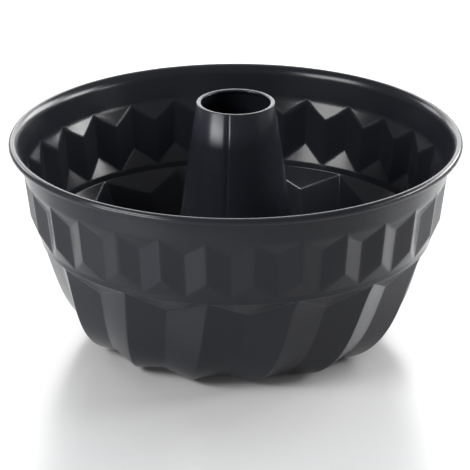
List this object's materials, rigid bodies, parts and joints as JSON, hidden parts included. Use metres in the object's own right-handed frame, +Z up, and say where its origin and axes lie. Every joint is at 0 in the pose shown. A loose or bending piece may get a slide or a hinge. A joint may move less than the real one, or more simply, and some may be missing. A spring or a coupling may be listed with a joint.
{
  "type": "bundt pan",
  "caption": "Round ring-cake pan: faceted wall, swirled flutes below, rolled rim, and an open tapered tube up its middle to let heat through.",
  "frame": {"origin": "centre of the circle that the pan stands on, at the height of the table", "axes": "+Z up out of the open top along the centre tube; -Y is the front, where the tube's lap seam shows"},
  "size_m": [0.224, 0.224, 0.122],
  "materials": {
    "bowl_coating": "dark grey non-stick coating on pressed steel, semi-gloss",
    "tube_coating": "dark grey non-stick coating on rolled steel, semi-gloss"
  },
  "bodies": {
    "root": {"bowl": "bowl_coating", "centre_tube": "tube_coating"}
  },
  "joints": []
}
